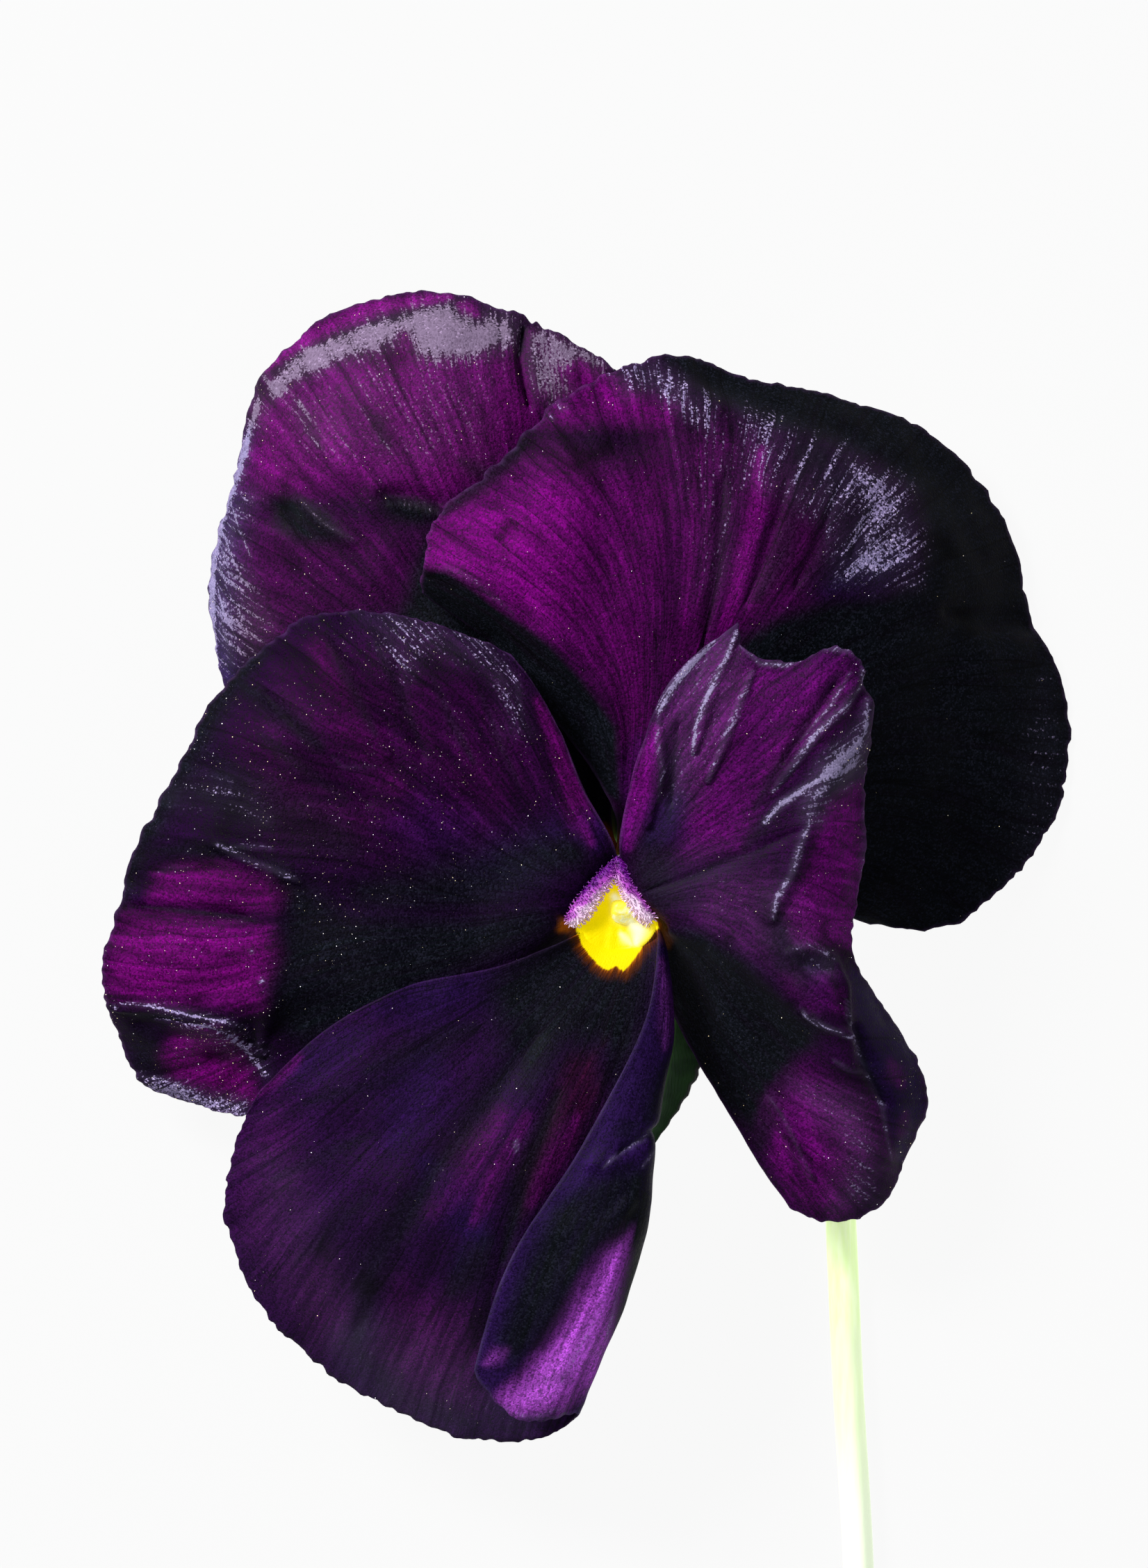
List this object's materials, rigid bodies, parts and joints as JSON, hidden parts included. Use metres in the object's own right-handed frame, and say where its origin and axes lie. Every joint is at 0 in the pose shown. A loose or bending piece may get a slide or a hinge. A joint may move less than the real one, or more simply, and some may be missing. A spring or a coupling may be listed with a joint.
{
  "type": "pansy flower",
  "caption": "Picked pansy bloom laid on its back, face up, with overlapping ruffled petals, a yellow eye, green sepals and a hooked stem with a plain cut end.",
  "frame": {"origin": "the flat tip of the spur behind the throat, where the bloom stands on the surface", "axes": "+Z out of the face of the bloom, +Y to its top petals and away from the cut end of the stem, +X to its right as seen from the front"},
  "size_m": [0.0635, 0.1066, 0.0178],
  "materials": {
    "petal_upper_left": "velvety dark magenta petal with a pale sheen",
    "petal_upper_right": "velvety dark magenta petal, almost black where it bends away",
    "petal_lateral_left": "velvety black-purple petal with magenta streaks",
    "petal_lateral_right": "velvety purple petal with a grey sheen",
    "petal_lower": "velvety violet petal with a yellow eye",
    "sepals": "satin dark green leaf",
    "stem": "satin pale green stem",
    "pistil": "moist pale yellow",
    "stamens": "powdery orange"
  },
  "bodies": {
    "root": {"petal_upper_left": "petal_upper_left", "petal_upper_right": "petal_upper_right", "petal_lateral_left": "petal_lateral_left", "petal_lateral_right": "petal_lateral_right", "petal_lower": "petal_lower", "sepal_top": "sepals", "sepal_left": "sepals", "sepal_lower_left": "sepals", "sepal_lower_right": "sepals", "sepal_right": "sepals", "stem": "stem", "pistil": "pistil", "stamens": "stamens"}
  },
  "joints": []
}
